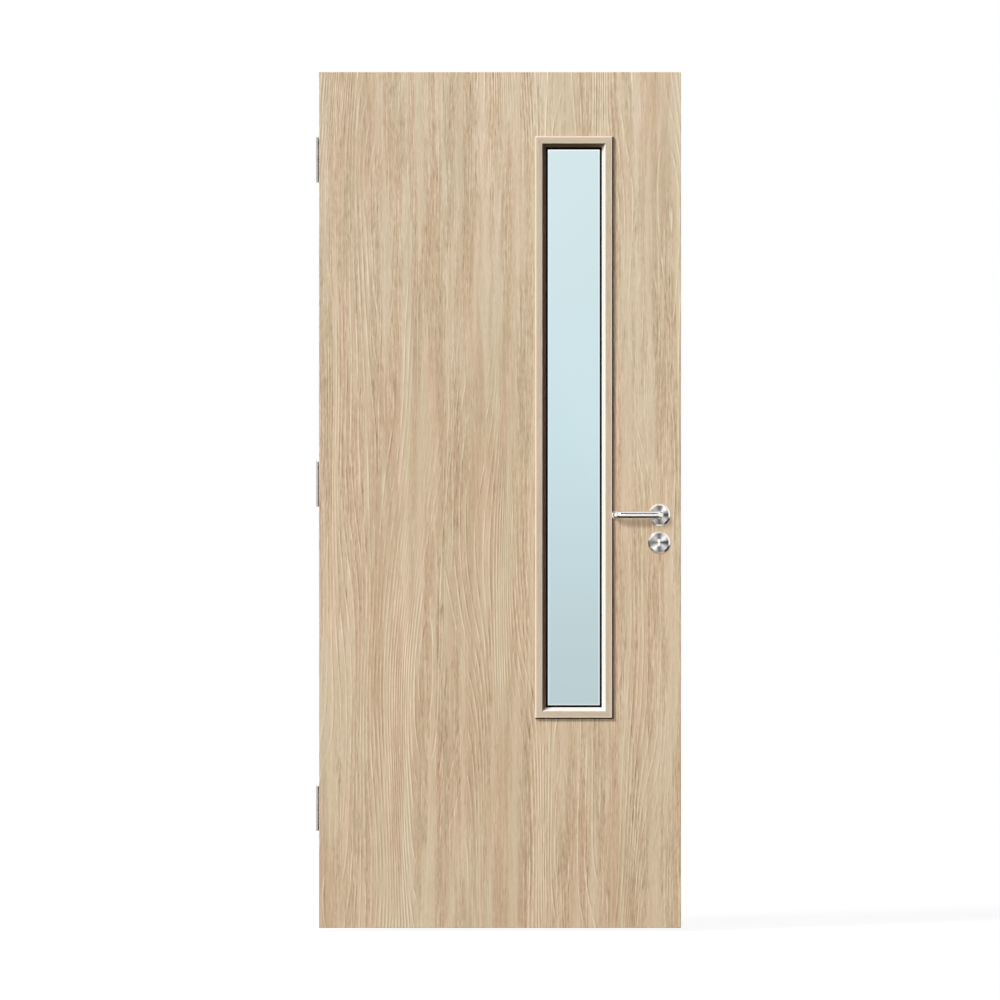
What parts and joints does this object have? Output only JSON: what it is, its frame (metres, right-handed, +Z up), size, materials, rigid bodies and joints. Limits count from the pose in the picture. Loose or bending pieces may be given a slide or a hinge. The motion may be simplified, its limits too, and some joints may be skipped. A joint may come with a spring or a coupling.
{
  "type": "glazed fire door",
  "caption": "Oak-faced flush fire door leaf with a tall narrow vision panel in mitred beads, round-bar return levers on roses, keyhole escutcheons, a mortice lock and butt hinges.",
  "frame": {"origin": "on the bottom hinge's face that lies on the jamb, at the hinge's middle height and on the leaf's middle plane", "axes": "+X from the hinge edge to the lock edge, +Y from the push face seen in the picture to the pull face with the hinge knuckles, +Z up"},
  "size_m": [0.846, 0.167, 1.981],
  "materials": {
    "oak_facing": "satin lacquer",
    "oak_bead": "satin lacquer",
    "oak_lipping": "satin lacquer",
    "board_core": "raw particle board",
    "fire_glass": "clear",
    "glazing_seal": "matt",
    "satin_stainless": "satin",
    "hinge_steel": "satin",
    "plated_steel": "zinc plated",
    "nickel_bolt": "nickel plated"
  },
  "bodies": {
    "jamb_hinges": {"bottom_hinge_jamb_leaf": "hinge_steel", "bottom_hinge_pin": "hinge_steel", "middle_hinge_jamb_leaf": "hinge_steel", "middle_hinge_pin": "hinge_steel", "top_hinge_jamb_leaf": "hinge_steel", "top_hinge_pin": "hinge_steel"},
    "door_leaf": {"core": "board_core", "front_facing": "oak_facing", "back_facing": "oak_facing", "hinge_edge_lipping": "oak_lipping", "lock_edge_lipping": "oak_lipping", "top_edge_lipping": "oak_lipping", "bottom_edge_lipping": "oak_lipping", "glass_pane": "fire_glass", "front_glazing_seal": "glazing_seal", "back_glazing_seal": "glazing_seal", "front_lever_rose": "satin_stainless", "back_lever_rose": "satin_stainless", "front_keyhole_escutcheon": "satin_stainless", "back_keyhole_escutcheon": "satin_stainless", "lock_case": "plated_steel", "lock_forend": "satin_stainless", "latch_bolt": "nickel_bolt", "deadbolt": "nickel_bolt", "front_bead_top": "oak_bead", "front_bead_bottom": "oak_bead", "front_bead_hinge_side": "oak_bead", "front_bead_lock_side": "oak_bead", "back_bead_top": "oak_bead", "back_bead_bottom": "oak_bead", "back_bead_hinge_side": "oak_bead", "back_bead_lock_side": "oak_bead", "bottom_hinge_door_leaf": "hinge_steel", "middle_hinge_door_leaf": "hinge_steel", "top_hinge_door_leaf": "hinge_steel"},
    "lever_set": {"front_lever": "satin_stainless", "back_lever": "satin_stainless", "spindle": "plated_steel"}
  },
  "joints": [
    {"name": "door_swing", "type": "hinge", "parent": "jamb_hinges", "child": "door_leaf", "pos_m": [0.0045, 0.03, 0], "axis": [0, 0, 1], "range_deg": [0, 170]},
    {"name": "lever_turn", "type": "hinge", "parent": "door_leaf", "child": "lever_set", "pos_m": [0.7935, 0, 0.68], "axis": [0, -1, 0], "range_deg": [0, 40], "stiffness_Nm_per_rad": 1.5, "springref_deg": -45.84}
  ]
}
